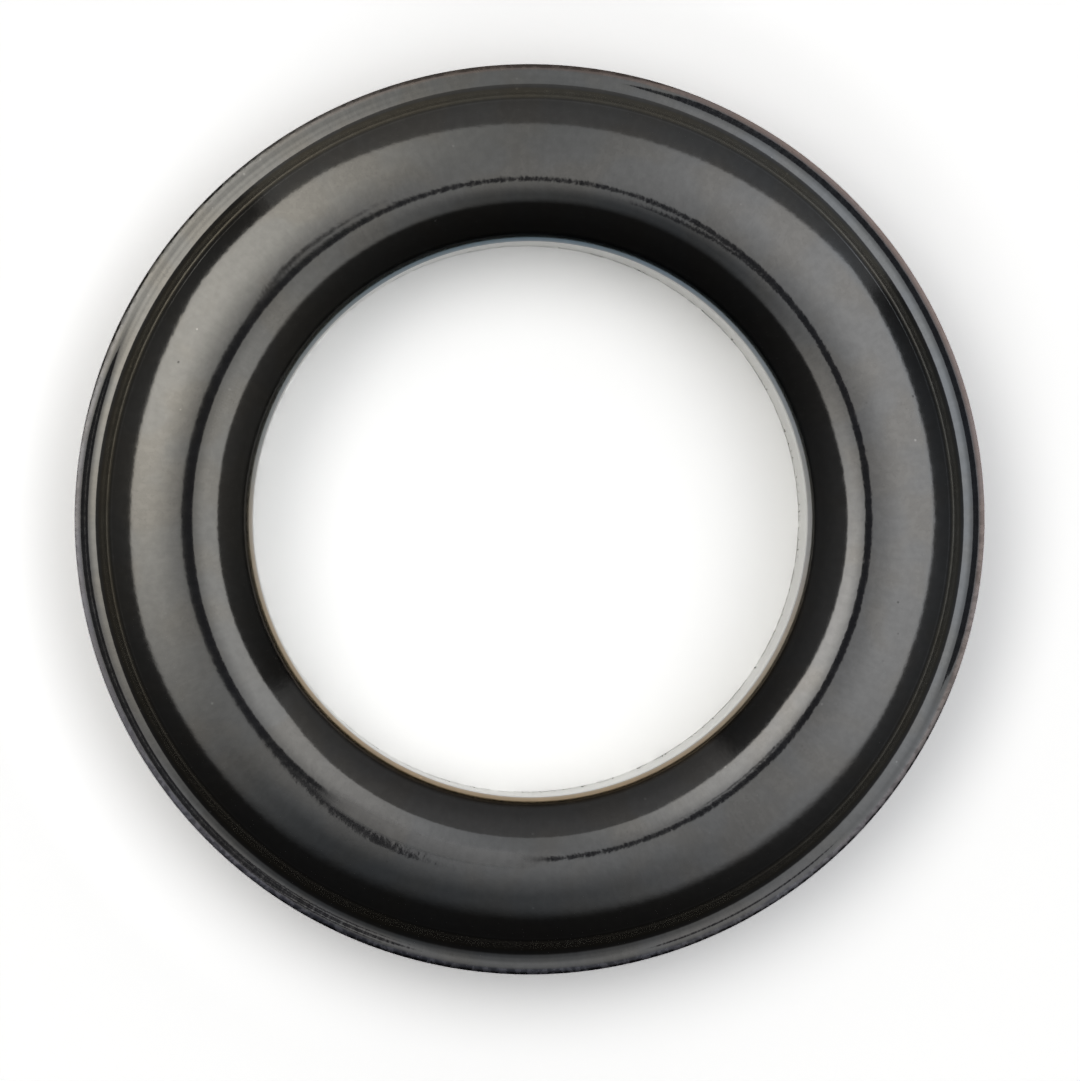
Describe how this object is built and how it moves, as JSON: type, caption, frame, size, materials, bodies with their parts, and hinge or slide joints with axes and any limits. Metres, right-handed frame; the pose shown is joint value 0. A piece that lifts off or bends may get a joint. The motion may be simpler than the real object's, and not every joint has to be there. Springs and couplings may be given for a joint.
{
  "type": "grommet eyelet",
  "caption": "Pressed sheet-metal grommet eyelet with a domed flange, a narrow brim round its edge and a straight unset barrel, in a dark plated finish.",
  "frame": {"origin": "centre of the barrel's cut end, on the surface that the eyelet stands on", "axes": "+Z along the bore towards the domed face; the part is round about Z, so X and Y are free"},
  "size_m": [0.04, 0.04, 0.006],
  "materials": {
    "plated_sheet": "gloss"
  },
  "bodies": {
    "root": {"eyelet": "plated_sheet"}
  },
  "joints": []
}
